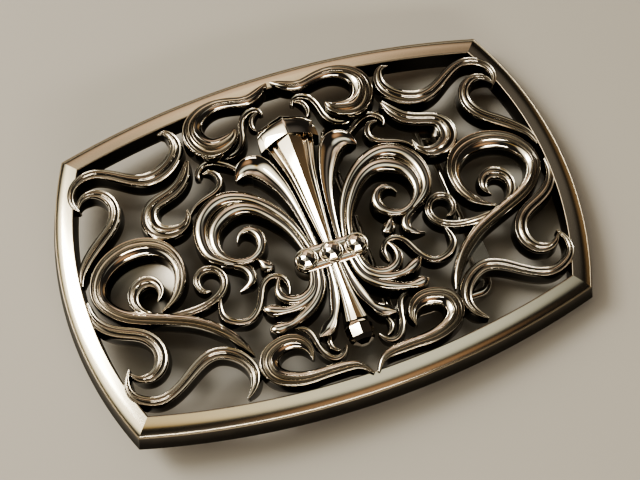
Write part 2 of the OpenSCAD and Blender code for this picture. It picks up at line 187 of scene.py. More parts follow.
def metal(name, oxide, halftone, bright, smooth, dull, grain, tarnish):
    """A metal that goes from oxide through halftone to bright as relief rises, and from dull to smooth.
    Oxide has gone by relief 0.5, and bright metal comes in from 0.4 to 0.9. Grain is the depth of the
    polishing scratches in metres, and tarnish how far the borders wander."""
    shader = Shader(bpy.data.materials.new(name))
    coordinates = shader.add("ShaderNodeTexCoord", {}, {})
    cloud = shader.noise(coordinates.outputs["Object"], cloud_scale, 4.0)
    speck = shader.noise(coordinates.outputs["Object"], speck_scale, 2.0)
    along = shader.vector("MULTIPLY", coordinates.outputs["UV"], scratch_stretch)
    scratch = shader.noise(along.outputs[0], 1.0, 3.0)
    relief = (shader.attribute("relief") + (cloud - 0.5) * tarnish).clamp()
    lower = (relief * 2.2 - 0.10).clamp()
    upper = ((relief - 0.40) * 2.0).clamp()
    colour = shader.mix(upper, shader.mix(lower, oxide, halftone), bright)
    roughness = dull + (smooth - dull) * upper + (scratch - 0.5) * 0.06 + (cloud - 0.5) * 0.04
    bump = shader.add(
        "ShaderNodeBump", {}, {"Height": scratch + speck * 0.3, "Distance": grain, "Strength": 0.5}
    )
    surface = shader.surface
    shader.feed(surface.inputs["Base Color"], colour)
    shader.feed(surface.inputs["Roughness"], roughness.clamp())
    shader.feed(surface.inputs["Normal"], bump.outputs[0])
    surface.inputs["Metallic"].default_value = 1.0
    return shader.owner


oxide_black = (0.020, 0.017, 0.014, 1)
bezel_silver = metal(
    "bezel_silver", (0.03, 0.026, 0.022, 1), (0.38, 0.32, 0.25, 1), (0.72, 0.68, 0.58, 1),
    smooth=0.17, dull=0.36, grain=0.0000015, tarnish=0.08,
)
scroll_silver = metal(
    "scroll_silver", oxide_black, (0.30, 0.265, 0.225, 1), (0.94, 0.90, 0.83, 1),
    smooth=0.09, dull=0.18, grain=0.0000004, tarnish=0.08,
)
petal_silver = metal(
    "petal_silver", oxide_black, (0.42, 0.36, 0.29, 1), (0.94, 0.90, 0.83, 1),
    smooth=0.07, dull=0.18, grain=0.0000003, tarnish=0.10,
)
hardware_steel = metal(
    "hardware_steel", (0.05, 0.045, 0.04, 1), (0.34, 0.32, 0.29, 1), (0.70, 0.67, 0.62, 1),
    smooth=0.10, dull=0.34, grain=0.0000008, tarnish=0.05,
)
finish_of_slot = {
    "bezel": bezel_silver,
    "scrollwork": scroll_silver,
    "fleur_de_lis": petal_silver,
    "hardware": hardware_steel,
}
print("finishes:", [finish.name for finish in finish_of_slot.values()])

# %% [markdown]
# ## Surface kit
# Every piece is a grid of points: closed rings, one after another. Quads join neighbouring rings,
# and a fan of triangles to a pole closes each end, unless the rings themselves run round in a loop.
# The volume that the faces enclose is positive when they face outwards, so its sign says whether a
# grid, or its mirror image, has to be turned round.

# %% Shells
class Shell:
    """A closed surface from a grid of rings, with its corners' UVs in mm and its points' relief."""

    def __init__(self, grid, relief, looped=False):
        rings, around = grid.shape[:2]
        i = np.arange(rings if looped else rings - 1)[:, None]
        j = np.arange(around)[None, :]
        here, ahead = i * around, (i + 1) % rings * around
        beside = (j + 1) % around
        quads = np.stack([here + j, here + beside, ahead + beside, ahead + j], -1).reshape(-1, 4)
        along = np.linalg.norm(np.diff(grid, axis=0, append=grid[:1]), axis=2).mean(1)
        across = np.linalg.norm(np.diff(grid, axis=1, append=grid[:, :1]), axis=2).max(0)
        u = np.concatenate([[0.0], np.cumsum(along)])
        v = np.concatenate([[0.0], np.cumsum(across)])
        corner_u = np.stack([u[i] + 0 * j, u[i] + 0 * j, u[i + 1] + 0 * j, u[i + 1] + 0 * j], -1)
        corner_v = np.stack([v[j] + 0 * i, v[j + 1] + 0 * i, v[j + 1] + 0 * i, v[j] + 0 * i], -1)
        self.points = grid.reshape(-1, 3)
        self.relief = np.broadcast_to(relief, (rings, around)).reshape(-1)
        self.quads = quads
        self.quad_uv = np.stack([corner_u, corner_v], -1).reshape(-1, 2)
        self.fans = np.zeros((0, 3), int)
        self.fan_uv = np.zeros((0, 2))
        if not looped:
            self.close_ends(grid, u, v)
        if self.volume() < 0:
            self.quads = self.quads[:, ::-1]
            self.fans = self.fans[:, ::-1]
            self.quad_uv = self.quad_uv.reshape(-1, 4, 2)[:, ::-1].reshape(-1, 2)
            self.fan_uv = self.fan_uv.reshape(-1, 3, 2)[:, ::-1].reshape(-1, 2)

    def close_ends(self, grid, u, v):
        """Adds a pole at the middle of the first ring and of the last, and a fan of triangles to each."""
        rings, around = grid.shape[:2]
        j = np.arange(around)
        beside = (j + 1) % around
        last = (rings - 1) * around
        poles = np.stack([grid[0].mean(0), grid[-1].mean(0)])
        start = np.stack([beside, j, 0 * j + rings * around], -1)
        end = np.stack([last + j, last + beside, 0 * j + rings * around + 1], -1)
        middle = (v[:-1] + v[1:]) / 2
        start_uv = np.stack([np.stack([0 * v[1:], v[1:]], -1), np.stack([0 * v[1:], v[:-1]], -1),
                             np.stack([0 * middle - 0.1, middle], -1)], 1)
        top = u[rings - 1]
        end_uv = np.stack([np.stack([0 * middle + top, v[:-1]], -1), np.stack([0 * middle + top, v[1:]], -1),
                           np.stack([0 * middle + top + 0.1, middle], -1)], 1)
        edge_relief = self.relief.reshape(rings, around)[[0, -1]].mean(1)
        self.points = np.concatenate([self.points, poles])
        self.relief = np.concatenate([self.relief, edge_relief])
        self.fans = np.concatenate([start, end])
        self.fan_uv = np.concatenate([start_uv, end_uv]).reshape(-1, 2)

    def volume(self):
        """Six times the enclosed volume: the sum of a . (b x c) over the triangles."""
        q = self.points[self.quads]
        t = self.points[self.fans]
        first = np.einsum("ij,ij->", q[:, 0], np.cross(q[:, 1], q[:, 2]))
        second = np.einsum("ij,ij->", q[:, 0], np.cross(q[:, 2], q[:, 3]))
        return first + second + np.einsum("ij,ij->", t[:, 0], np.cross(t[:, 1], t[:, 2]))


# %% [markdown]
# A piece is one mesh of one or more shells. It is written into Blender with whole arrays, because a
# loop over a million corners would take minutes. Smooth shading rounds the facets, and an edge
# sharper than the crease angle stays an edge. The relief goes in as an attribute of the points.

# %% Pieces
def piece(name, shells, slot, node, body="buckle", crease=62.0, faceted=False):
    """One object of one or more shells, in mm, that rides on a body and stands for a CAD node."""
    starts = np.cumsum([0] + [len(shell.points) for shell in shells])
    points = np.concatenate([shell.points for shell in shells]) * MM
    quads = np.concatenate([shell.quads + first for shell, first in zip(shells, starts)])
    fans = np.concatenate([shell.fans + first for shell, first in zip(shells, starts)])
    corners = np.concatenate([quads.reshape(-1), fans.reshape(-1)])
    sizes = np.concatenate([np.full(len(quads), 4), np.full(len(fans), 3)])
    mesh = bpy.data.meshes.new(name)
    mesh.vertices.add(len(points))
    mesh.vertices.foreach_set("co", points.astype(np.float32).ravel())
    mesh.loops.add(len(corners))
    mesh.loops.foreach_set("vertex_index", corners.astype(np.int32))
    mesh.polygons.add(len(sizes))
    mesh.polygons.foreach_set("loop_start", (np.cumsum(sizes) - sizes).astype(np.int32))
    mesh.update(calc_edges=True)
    uv = np.concatenate([shell.quad_uv for shell in shells] + [shell.fan_uv for shell in shells])
    mesh.uv_layers.new(name="UVMap").data.foreach_set("uv", uv.astype(np.float32).ravel())
    relief = mesh.attributes.new("relief", "FLOAT", "POINT")
    relief.data.foreach_set("value", np.concatenate([s.relief for s in shells]).astype(np.float32))
    mesh.validate()
    if faceted:
        mesh.shade_flat()
    else:
        mesh.shade_smooth()
        mesh.set_sharp_from_angle(angle=math.radians(crease))
    made = bpy.data.objects.new(name, mesh)
    bpy.context.scene.collection.objects.link(made)
    mesh.materials.append(finish_of_slot[slot])
    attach(made, body)
    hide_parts(node)
    print(f"{name}: {len(sizes)} faces")
    return made


# %% [markdown]
# ## The bezel frame
# On the real buckle the frame is a moulding cut into four rails and soldered at mitred corners.
# Its two ends and two long sides are arcs. A ring of the section at each step of the way round
# would be simple, but the section has to be cut by the mitre at each corner. So each point of the
# section gets its own arc, and each arc stops where it meets the mitre line.

# %% Frame outline
corner = np.array([40.0, 26.6])
end_bow = 5.8
side_bow = 5.4
moulding_w = 3.5
edge_h = 3.5
roll_rise = 1.0
skirt = 0.9

end_r = (corner[1] ** 2 + end_bow**2) / (2 * end_bow)
side_r = (corner[0] ** 2 + side_bow**2) / (2 * side_bow)
end_centre = np.array([corner[0] + end_bow - end_r, 0.0])
side_centre = np.array([0.0, corner[1] + side_bow - side_r])
mitre = (corner - end_centre) / end_r + (corner - side_centre) / side_r
mitre = mitre / np.linalg.norm(mitre)
print("mitre direction:", mitre.round(3))


def mitre_points(centre, radius, offset):
    """Where the circle of each offset meets the mitre line: corner + t mitre, where t is such that the
    point lies at radius + offset from the centre."""
    out = corner - centre
    half = mitre @ out
    t = -half + np.sqrt(half**2 - (out @ out - (radius + offset) ** 2))
    return corner + t[:, None] * mitre


# %% Frame section
def frame_section():
    """Offsets outwards from the outer top edge, heights and relief, once round the moulding.
    The face falls by its fall times the way across, plus its shoulder times the fourth power of the
    way, so it starts nearly flat and ends rounded. A small round meets the inner wall, a thin lip
    stands at the outer edge, and the outer wall flares to the back."""
    inner_r = 0.22
    lip = 0.26
    fall = 0.38
    shoulder = 0.46
    crest = edge_h + roll_rise
    way = np.linspace(0, 1, 40)
    face_x = -moulding_w + inner_r + (moulding_w - inner_r - lip) * way
    face = np.stack([face_x, crest - fall * way - shoulder * way**4], -1)
    bend = np.linspace(0, math.pi / 2, 7)[:-1]
    inner_x = -moulding_w + inner_r * (1 - np.cos(bend))
    inner_round = np.stack([inner_x, crest - inner_r * (1 - np.sin(bend))], -1)
    turn = np.linspace(-0.75, 1.0, 12) * math.pi / 2
    lip_x = -lip / 2 + lip / 2 * np.sin(turn)
    lip_round = np.stack([lip_x, face[-1, 1] - 0.16 + 0.18 * np.cos(turn)], -1)
    wall = np.linspace(0, 1, 7)
    outer_top = lip_round[-1, 1] - 0.10
    outer = np.stack([0.02 + (skirt - 0.02) * wall**1.4, outer_top * (1 - wall) + 0.15 * wall], -1)
    back = np.array([[-1.3, 0.0], [-moulding_w + 0.1, 0.0]])
    inner_wall = np.stack([np.full(5, -moulding_w), np.linspace(0.1, inner_round[0, 1] - 0.15, 5)], -1)
    edge = np.array([[skirt - 0.12, 0.0]])
    parts = [back, inner_wall, inner_round, face, lip_round, outer, edge]
    # Both walls of the moulding get relief 0 or near it, so they go to oxide black: painted shade that keeps
    # them dark, over the oxide of the antique finish.
    shine = [np.full(2, 0.45), np.full(5, 0.0), np.linspace(0.1, 0.5, 6), np.full(40, 1.0),
             np.linspace(0.62, 0.4, 12), np.linspace(0.12, 0.0, 7), np.full(1, 0.2)]
    return np.concatenate(parts), np.concatenate(shine)


# %% Frame rails
def rail(centre, radius, section, turn, steps):
    """One rail's rings, from a mitre to the next: each section point runs on its own arc about centre.
    Turn is the direction of the rail's middle, as an angle from +X."""
    ends = mitre_points(centre, radius, section[:, 0])
    out = ends - centre
    middle = math.radians(turn)
    reach = np.abs(np.arctan2(out[:, 1], out[:, 0]) - middle)
    angle = middle + np.linspace(-1, 1, steps)[:, None] * reach[None, :]
    r = radius + section[:, 0]
    x = centre[0] + r * np.cos(angle)
    y = centre[1] + r * np.sin(angle)
    return np.stack([x, y, np.broadcast_to(section[:, 1], x.shape)], -1)


frame_profile, frame_rub_and_shade = frame_section()
end_steps = 64
side_steps = 96
right_rail = rail(end_centre, end_r, frame_profile, 0, end_steps)
top_rail = rail(side_centre, side_r, frame_profile, 90, side_steps)
half_turn = np.array([-1.0, -1.0, 1.0])
rails = [right_rail, top_rail[1:], (right_rail * half_turn)[1:], (top_rail * half_turn)[1:-1]]
frame_grid = np.concatenate(rails)
frame_shell = Shell(frame_grid, frame_rub_and_shade[None, :], looped=True)
bezel = piece("bezel_frame_moulding", [frame_shell], "bezel", "bezel_frame", crease=50.0)

# %% [markdown]
# At each mitre two rails meet at a crisp line, but the angle between their faces is small, so the
# angle limit for smooth shading would blend them. The edges of the four mitre rings are marked as
# sharp by hand instead. A ring's edges join two points whose numbers fall in the same ring.

# %% Frame mitres
def sharpen_rings(made, rings, around):
    """Marks the edges that lie in the given rings as sharp, so that the shading breaks at the mitre."""
    edges = np.zeros(len(made.data.edges) * 2, np.int32)
    made.data.edges.foreach_get("vertices", edges)
    edges = edges.reshape(-1, 2) // around
    in_ring = (edges[:, 0] == edges[:, 1]) & np.isin(edges[:, 0], rings)
    attributes = made.data.attributes
    sharp = attributes.get("sharp_edge") or attributes.new("sharp_edge", "BOOLEAN", "EDGE")
    flags = np.zeros(len(in_ring), bool)
    sharp.data.foreach_get("value", flags)
    sharp.data.foreach_set("value", flags | in_ring)


rail_ends = np.cumsum([len(rings) for rings in rails])[:3] - 1
sharpen_rings(bezel, [0, *rail_ends], len(frame_profile))
print("mitre rings:", [0, *rail_ends.tolist()])

# %% [markdown]
# ## Ribbons
# A scroll is a strip of metal with a worked face, laid along a curve. Its path is a few points
# (x, y, width) on the right-hand side, in mm. A smooth curve through them gives the spine, and the
# width runs smoothly with it. A curve object with a bevel could carry the strip, but it can't give
# each section point its relief. A natural cubic spline is used because its curvature has no jumps,
# and polished metal would show each one as a kink in its highlight.

# %% Spines
def spine(path, per_span=14):
    """The natural cubic spline through the path's points, over the distance between them: its second
    derivatives M solve h0 M0 + 2(h0 + h1) M1 + h1 M2 = 6 (slope1 - slope0) at each inner point."""
    p = np.array(path, float)
    h = np.linalg.norm(np.diff(p[:, :2], axis=0), axis=1)
    slope = np.diff(p, axis=0) / h[:, None]
    system = np.eye(len(p))
    bent = np.zeros_like(p)
    inner = np.arange(1, len(p) - 1)
    system[inner, inner - 1] = h[:-1]
    system[inner, inner] = 2 * (h[:-1] + h[1:])
    system[inner, inner + 1] = h[1:]
    bent[inner] = 6 * (slope[1:] - slope[:-1])
    m = np.linalg.solve(system, bent)
    t = (np.arange(per_span) / per_span)[None, :, None]
    span = h[:, None, None]
    ahead = p[1:, None] * t + p[:-1, None] * (1 - t)
    pull = (t**3 - t) * m[1:, None] + ((1 - t) ** 3 - (1 - t)) * m[:-1, None]
    curve = ahead + pull * span**2 / 6
    return np.concatenate([curve.reshape(-1, 3), p[-1:]])


arch = spine([(0, 0, 1), (5, 2, 1), (10, 0, 1)])
print("an arch through 3 points has", len(arch), "spine points")

# %% [markdown]
# ## Worked faces
# A silversmith gives each strip its face with a few punches: flutes on the scrolls, a full band on
# the petals, a hollow on the feathers, a roof on the middle. Each face here is a function of s,
# which runs from -1 to 1 across the strip, and gives heights and relief. The heights are shares of
# the local width, so the flutes close up and flatten as the strip runs out to its tip.

# %% Flutes
def flutes(s, count, outer=0.80, inner=0.82, depth=0.13, bead=0.05, dome=0.12):
    """Height and relief across a scroll's face, s from -1 inside the curl to 1 outside it.
    Between the rims run count hollow channels, each a parabola. A narrow round bead, a Gaussian,
    stands on each ridge, and the whole face is domed by s squared. Outside each rim a quarter round
    rolls over. Relief is least at the bottom of a channel and most on a bead."""
    inside = np.clip((s + inner) / (outer + inner), 0, 1) * count
    f = inside - np.floor(np.minimum(inside, count - 1e-9))
    between = (s >= -inner) & (s <= outer)
    channel = np.where(between, 4 * f * (1 - f), 0)
    ridges = np.linspace(-inner, outer, count + 1)
    beads = np.exp(-(((s[:, None] - ridges[None, :]) / 0.085) ** 2)).max(1)
    rim = np.where(s > 0, outer, inner)
    over = np.clip((np.abs(s) - rim) / (1 - rim), 0, 1)
    roll = np.minimum((1 - rim) * 0.75, 0.24) * (1 - np.sqrt(1 - np.minimum(over, 0.985) ** 2))
    height = -depth * channel * 1.4 / count + bead * beads - dome * s**2 - roll
    relief = 0.84 + 0.16 * beads - 0.50 * channel**4
    relief = np.where(between, relief, 1.0 - 0.35 * np.clip(over - 0.6, 0, 1))
    return height, relief


# %% Bands, spoons and keels
def band(s, rise=0.26, rim=0.80):
    """A smooth convex band, an arc of an ellipse, with a thin bead along each edge and a narrow groove
    inside the bead. The middle is rubbed brightest, and painted shade darkens the band a little on
    either side of it."""
    round_part = rise * (np.sqrt(1.06 - np.clip(np.abs(s) / rim, 0, 1) ** 2) - 1.03)
    bead = 0.07 * np.exp(-(((np.abs(s) - 0.92) / 0.06) ** 2))
    groove = np.exp(-(((np.abs(s) - rim) / 0.05) ** 2))
    over = np.clip((np.abs(s) - 0.93) / 0.07, 0, 1)
    # Painted shade: the band is darkened a little on either side of its middle.
    painted_side_shade = np.clip((np.abs(s) - 0.30) / 0.35, 0, 1) * (np.abs(s) < rim)
    relief = 1.0 - 0.24 * painted_side_shade - 0.85 * groove - 0.5 * over
    return round_part + bead - 0.10 * over**2, relief


def spoon(s, depth=0.16, rim=0.84):
    """One broad hollow, a parabola, between two bright rims, as on a leaf that cups upwards."""
    hollow = np.clip(1 - (s / rim) ** 2, 0, 1)
    bead = np.exp(-(((np.abs(s) - rim) / 0.08) ** 2))
    over = np.clip((np.abs(s) - rim) / (1 - rim), 0, 1)
    roll = 0.16 * (1 - np.sqrt(1 - np.minimum(over, 0.98) ** 2))
    return -depth * hollow - roll + 0.02 * bead, 0.95 - 0.30 * over + 0.05 * bead


def keel(s, slope=0.27, facet=0.50):
    """A roof of two flat facets. Beside each a cove, half a sine deep, runs out to a thin bright edge."""
    a = np.abs(s)
    out = np.clip((a - facet) / (0.90 - facet), 0, 1)
    roof = -slope * np.minimum(a, facet) - 0.03 * out
    cove = -0.075 * np.sin(math.pi * out)
    edge = 0.02 * np.exp(-(((a - 0.93) / 0.04) ** 2))
    over = np.clip((a - 0.94) / 0.06, 0, 1)
    corner = np.exp(-(((a - facet - 0.03) / 0.03) ** 2))
    relief = 1.0 - 0.30 * np.sin(math.pi * out) - 0.45 * corner - 0.5 * over
    return roof + cove + edge - 0.06 * over**2, relief


for face in (band, spoon, keel):
    heights = face(np.linspace(-1, 1, 201))[0]
    print(f"a {face.__name__} is {np.ptp(heights):.2f} of its width from top to bottom")

# %% [markdown]
# ## From path to metal
# A ribbon joins a path and a face. At each step along the spine one ring goes round the strip. The
# rings lie across the spine, so they stay square to it in the tightest curl. The face's points are
# crowded towards its edges by a sine, because the beads and rolls there need the most of them.

# %% Ribbon surface
narrow = 1.3


def ribbon(path, face, back, crown, sink=0.9, draft=0.2, lean=0.0, hand=1, mirror=1.0, across=65):
    """A strip's shell. Each ring goes from the middle of the back, up one wall, over the face and down
    the other wall. The crown sinks by sink times the square of what the strip has lost of its full
    width, and the back rises where the strip is narrow. The walls flare by draft to the back, lean
    tilts the face, and hand is -1 where the curl turns to the left."""
    line = spine(path)
    w = np.maximum(line[:, 2], 0.12)
    run = np.gradient(line[:, :2], axis=0)
    run = run / np.linalg.norm(run, axis=1, keepdims=True)
    side = np.stack([-run[:, 1], run[:, 0]], -1)
    s = np.sin(np.linspace(-1, 1, across) * math.pi / 2 * 0.82) / math.sin(math.pi / 2 * 0.82)
    height, relief = face(s * hand)
    under = back + 1.8 * np.clip(1 - w / narrow, 0, 1)[:, None]
    top = crown - sink * (1 - w / w.max()) ** 2
    z_face = top[:, None] + w[:, None] * (height - height.max() + lean * s)[None, :]
    walls = np.array([0.0, 0.35, 0.75, 0.94])
    z_left = under + (z_face[:, :1] - under) * walls[None, :]
    z_right = under + (z_face[:, -1:] - under) * walls[None, ::-1]
    half = w[:, None] / 2
    flare = draft * (1 - walls)[None, :] * np.minimum(w[:, None], 1.0)
    middle = np.zeros((len(w), 1))
    a = np.concatenate([middle, -half - flare, half * s[None, :], half + flare[:, ::-1]], 1)
    z = np.concatenate([under, z_left, z_face, z_right], 1)
    # The walls get low relief, so they go nearly to oxide black: painted shade that keeps them dark, over
    # the oxide of the antique finish.
    wall_oxide_and_shade = np.array([0.30, 0.0, 0.0, 0.10])
    shine = np.concatenate([[0.45], wall_oxide_and_shade, relief, wall_oxide_and_shade[::-1]])
    x = (line[:, :1] + side[:, :1] * a) * mirror
    y = line[:, 1:2] + side[:, 1:2] * a
    return Shell(np.stack([x, y, z], -1), shine[None, :])


def both_sides(name, paths, face, slot, **shape):
    """A right-hand piece and its mirror image on the left."""
    for side, mirror in (("right", 1.0), ("left", -1.0)):
        shells = [ribbon(path, face, mirror=mirror, **shape) for path in paths]
        piece(f"{name}_{side}_cast", shells, slot, f"{name}_{side}")


# %% [markdown]
# ## Scrollwork
# The main scrolls fill the four quarters. The crest and foot scrolls stand highest, because they
# lap over the frame. The real openwork is cast in one, then chased. Modelled as separate strips
# at a few levels, each can overlap the next without any cutting, and the eye reads one casting.

# %% Levels
scroll_back = 1.2
scroll_crown = 4.6
lap_crown = 4.9
crest_crown = 6.3
crest_back = 2.4
print("scrolls stand in mm:", scroll_crown - scroll_back, "crest:", round(crest_crown - crest_back, 1))


def two_flutes(s):
    return flutes(s, 2)


def rolled_flutes(s):
    return flutes(s, 2, outer=0.86, inner=0.22, depth=0.24, bead=0.045)


# %% Crest and foot
both_sides("crest_scroll", [[
    (0.4, 29.2, 0.3), (2, 28.1, 1.5), (5, 27, 1.9), (7.9, 27.5, 2), (10.9, 27.8, 2.2), (13.8, 26.9, 2.7),
    (15.9, 24.6, 3.5), (15.8, 21.9, 4.2), (13.7, 19.7, 4.4), (11, 19.8, 3.5), (9.2, 20.9, 1.9),
    (8.7, 21.9, 0.5),
]], rolled_flutes, "scrollwork", back=crest_back, crown=crest_crown, sink=1.0)
both_sides("foot_scroll", [[
    (0.4, -29.1, 0.3), (2.2, -27.1, 1.3), (5, -26.5, 1.9), (7.9, -26.4, 2), (10.9, -26.3, 2.3),
    (13.8, -25.5, 2.7), (16, -23.6, 3.2), (16, -21.4, 3.3), (13.4, -19.7, 2.9), (11.1, -19.8, 2.6),
    (9.3, -21.4, 1.6), (9.1, -23.6, 0.3),
]], rolled_flutes, "scrollwork", back=crest_back, crown=crest_crown, sink=1.0, hand=-1)

# %% [markdown]
# The corner scrolls lap over the frame a little, so their crown is higher, and they hardly sink
# towards their tips. The shoulder scrolls stay inside it.

# %% Corner and shoulder scrolls
both_sides("upper_corner_scroll", [[
    (22.2, 25.8, 0.3), (21, 25.9, 0.9), (19.9, 24.6, 1.7), (19.7, 22.4, 2.4), (21.2, 20, 2.9),
    (23.6, 18.4, 3), (26.5, 17.9, 2.8), (29.5, 19, 2.3), (32.5, 20.9, 2), (35.6, 22, 1.8),
    (38.4, 21.2, 1.6), (39.9, 19.3, 1.3), (40, 17, 0.9), (39.2, 15.6, 0.3),
]], two_flutes, "scrollwork", back=scroll_back, crown=lap_crown, sink=0.3)
both_sides("link_scroll", [[
    (18.6, 19.3, 0.8), (19.6, 17.1, 2), (21.4, 15, 2.6), (24.3, 13.6, 2.6), (27, 12.4, 2.8),
    (28, 10, 3.4), (27.3, 7.9, 3.3), (25, 6.7, 2.8), (22.8, 7, 2), (21.5, 8.3, 1.2), (21.2, 10.1, 0.3),
]], two_flutes, "scrollwork", back=scroll_back, crown=scroll_crown)
both_sides("upper_shoulder_scroll", [[
    (39.4, 16.1, 0.3), (38.5, 17.7, 1), (36.6, 18.4, 1.5), (34.7, 17.6, 1.9), (33.4, 15.5, 2),
    (33.6, 12.9, 2.2), (35.2, 10.6, 2.3), (37.8, 8.4, 2.2), (40.2, 6.1, 1.9), (41.7, 3.9, 1.3),
    (42.2, 1.8, 0.5),
]], two_flutes, "scrollwork", back=scroll_back, crown=scroll_crown, sink=0.4)
both_sides("lower_shoulder_scroll", [[
    (42.1, -1.4, 0.5), (42, -4.1, 1.5), (40.4, -6.8, 2.1), (37.5, -8.6, 2.3), (34.6, -10.1, 2.3),
    (32.9, -12.4, 2.4), (32.8, -14.9, 2.4), (34.2, -16.9, 2.2), (36.3, -17.4, 1.5), (37.9, -16.5, 0.8),
    (38.6, -15.5, 0.2),
]], two_flutes, "scrollwork", back=scroll_back, crown=scroll_crown, sink=0.4)
both_sides("lower_corner_scroll", [[
    (21.2, -26.2, 0.3), (19.7, -24.7, 1.3), (18.9, -22.4, 1.9), (19.6, -20, 2.2), (21.4, -18.1, 2.3),
    (24.2, -17.1, 2.2), (27, -17.9, 2.1), (29.6, -19.6, 1.9), (32.1, -21.1, 1.8), (34.8, -21.8, 1.8),
    (37.4, -21, 1.7), (39.1, -19.3, 1.4), (39.3, -17.2, 1), (38.4, -15.1, 0.3),
]], two_flutes, "scrollwork", back=scroll_back, crown=lap_crown, sink=0.3)

# %% [markdown]
# A volute is the largest curl, one on each side, and its tail runs on to the foot. Its inner edge is
# a broad polished roll, so its face has an inner rim close to the middle. The heart is a small
# curl of its own that starts under the volute's end.

# %% Volutes
both_sides("side_volute", [[
    (30.5, -6.9, 0.3), (28, -5.4, 1.3), (26.2, -2.9, 2), (25.6, -0.3, 2.2), (26.3, 2.7, 2.7),
    (28.5, 4.9, 3.2), (31.5, 5.8, 3.6), (34.5, 5.5, 3.6), (37.5, 4, 3.4), (39.5, 1.4, 3),
    (39.9, -1.3, 2.7), (38.8, -3.7, 2.5), (36.3, -5.9, 2.4), (33, -7.4, 2.4), (29.5, -8.8, 2.3),
    (26, -10.4, 2.2), (23, -12.5, 2.1), (20.5, -15.1, 1.7), (18.8, -17.7, 1), (18, -19.4, 0.2),
]], rolled_flutes, "scrollwork", back=scroll_back, crown=scroll_crown + 0.2)
both_sides("volute_heart", [[
    (31.4, -7.3, 0.4), (33.6, -5.9, 1.3), (34.5, -3.8, 1.9), (33.8, -1.8, 2.4), (31.9, -0.9, 2.5),
    (30.1, -1.9, 1.9), (29.8, -3.5, 1.1), (30.7, -4.8, 0.2),
]], two_flutes, "scrollwork", back=1.9, crown=scroll_crown)

# %% [markdown]
# ## Tendrils
# Thin shoots fill the gaps between the scrolls and tie them together. They have one flute, and lie
# lower than the scrolls, so that the scrolls read in front. A tendril that forks is two strips in
# one piece, with the second started inside the first.

# %% Tendrils
tendril_crown = 4.1
tendril_shape = {"back": scroll_back, "crown": tendril_crown, "sink": 0.5, "across": 49}


def one_flute(s):
    return flutes(s, 1, outer=0.72, inner=0.72, depth=0.10, dome=0.08, bead=0.06)


both_sides("crest_tendril", [[
    (12.2, 17.7, 0.5), (10.4, 17.7, 1.2), (8.9, 18.5, 1.3), (7.9, 20, 1.3), (7.4, 22.2, 1.2),
    (6.6, 24.3, 1.2), (5, 25.4, 1.1), (3.4, 25.2, 0.9), (2.9, 24.1, 0.4),
], [
    (3.6, 24.6, 0.4), (4.6, 24.2, 0.8), (5.3, 23, 0.9), (5.2, 21.6, 0.6), (4.8, 21, 0.2),
]], one_flute, "scrollwork", **tendril_shape)
both_sides("foot_tendril", [[
    (10.2, -17.2, 0.4), (8.7, -17.8, 1.1), (7.8, -19.5, 1.2), (7.4, -21.5, 1.2), (6.6, -23.3, 1.2),
    (5.1, -24.3, 1.1), (3.6, -23.7, 0.8), (2.9, -22.6, 0.3),
], [
    (4.7, -19.9, 0.3), (5.4, -21.1, 0.8), (5.2, -22.4, 0.8), (4.2, -23.2, 0.3),
]], one_flute, "scrollwork", **tendril_shape)
both_sides("feather_tendrils", [[
    (10.2, 14.3, 0.6), (11.8, 16, 1), (13.5, 17.2, 1.1), (15.3, 17.7, 1.2), (17, 16.9, 1.1),
    (17.6, 15.6, 0.8), (17.4, 14.8, 0.2),
], [
    (16.6, 15.9, 0.3), (15.3, 15.9, 0.9), (14.3, 14.9, 1.2), (14.2, 13.2, 1.2), (15.3, 12, 1.1),
    (17.4, 11.2, 0.9), (19.8, 10.1, 0.6), (21.4, 8.3, 0.2),
]], one_flute, "scrollwork", **tendril_shape)
both_sides("heart_tendril", [[
    (9.1, -10.8, 0.3), (8.8, -9.1, 0.9), (9.5, -7.5, 1.2), (11.2, -6.9, 1.3), (12.8, -7.8, 1.3),
    (13.8, -9.7, 1.3), (15, -11.8, 1.3), (16.8, -13.1, 1.4), (19, -12.8, 1.4), (20.8, -11.2, 1.3),
    (20.9, -9.3, 0.9), (20.5, -7.9, 0.4),
]], one_flute, "scrollwork", **tendril_shape)
both_sides("spiral_tendril", [[
    (31, -7.8, 0.4), (27.5, -8.4, 1.3), (24.3, -8.4, 1.4), (21.3, -7.6, 1.4), (19.4, -6.1, 1.4),
    (18.9, -4.1, 1.4), (19.8, -2.5, 1.4), (21.6, -1.9, 1.5), (23.2, -2.9, 1.4), (23.4, -4.6, 1.1),
    (22.4, -5.9, 0.7), (21.6, -6, 0.2),
]], two_flutes, "scrollwork", **tendril_shape)

# %% [markdown]
# ## Fleur-de-lis
# The petals are the polished part. Their bands are full and smooth, so each throws one long
# highlight, and only the grooves between them keep their dark. A side petal is two bands side by
# side, and the inner one goes on round its curl. The barb and the bud hang under the curl.

